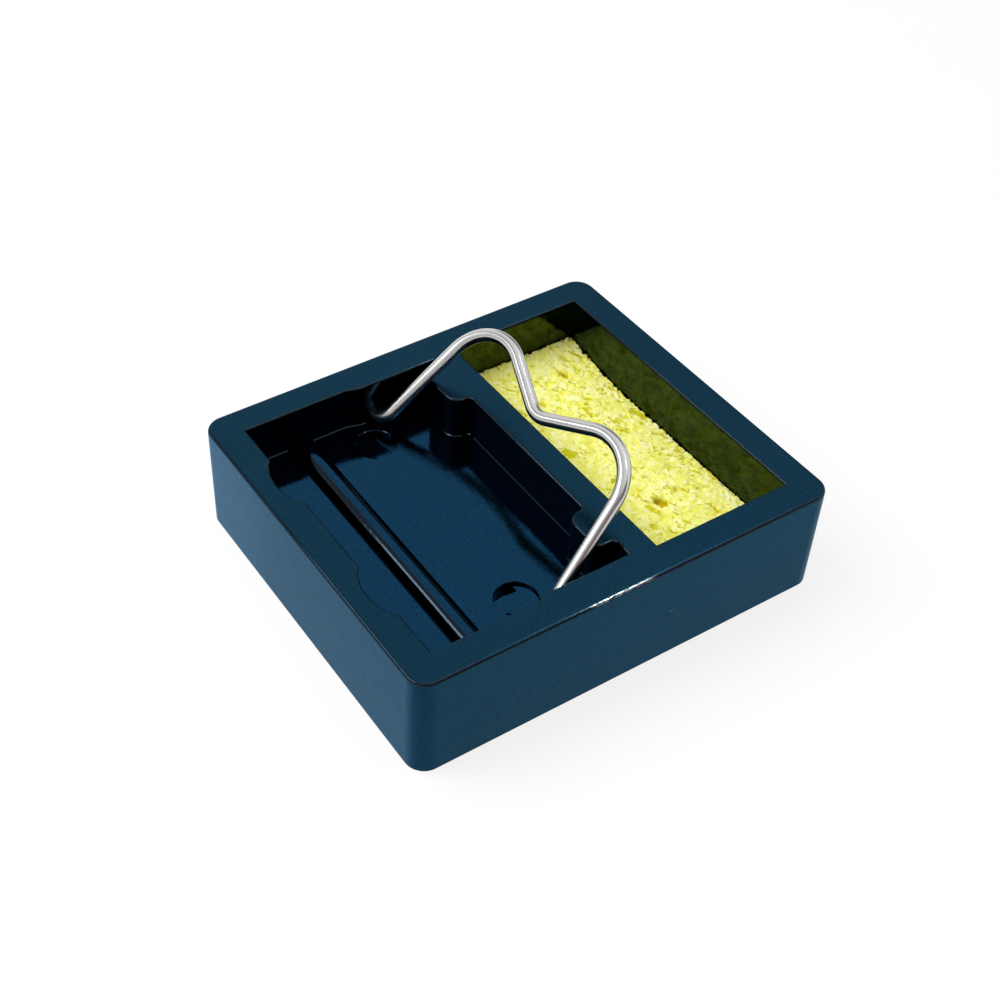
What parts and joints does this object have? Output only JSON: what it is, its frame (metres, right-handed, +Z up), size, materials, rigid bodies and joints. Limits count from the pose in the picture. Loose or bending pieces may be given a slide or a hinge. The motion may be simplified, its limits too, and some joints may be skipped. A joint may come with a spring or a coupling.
{
  "type": "soldering iron stand",
  "caption": "Low rectangular moulded bench stand with an open tool well, a deep well holding a loose cleaning sponge, and a fold-down bent wire rest for a soldering iron.",
  "frame": {"origin": "middle of the base's underside, on the surface that the stand rests on", "axes": "+X from the tool well to the sponge well along the long side, +Y across the stand to the wall that is at the back in the picture, +Z up"},
  "size_m": [0.0936, 0.0804, 0.0376],
  "materials": {
    "moulding": "near-black blue thermoset moulding, polished in the wells and satin outside",
    "wire": "bright plated steel wire",
    "sponge": "dry pale yellow cellulose sponge with open pores"
  },
  "bodies": {
    "base": {"base": "moulding"},
    "wire_rest": {"wire_rest": "wire"},
    "sponge": {"sponge": "sponge"}
  },
  "joints": [
    {"name": "wire_fold", "type": "hinge", "parent": "base", "child": "wire_rest", "pos_m": [-0.01106, 0, 0.01575], "axis": [0, 1, 0], "range_deg": [-127.6, 0]},
    {"name": "sponge_lift", "type": "slide", "parent": "base", "child": "sponge", "axis": [0, 0, 1], "range_m": [0, 0.022]}
  ]
}
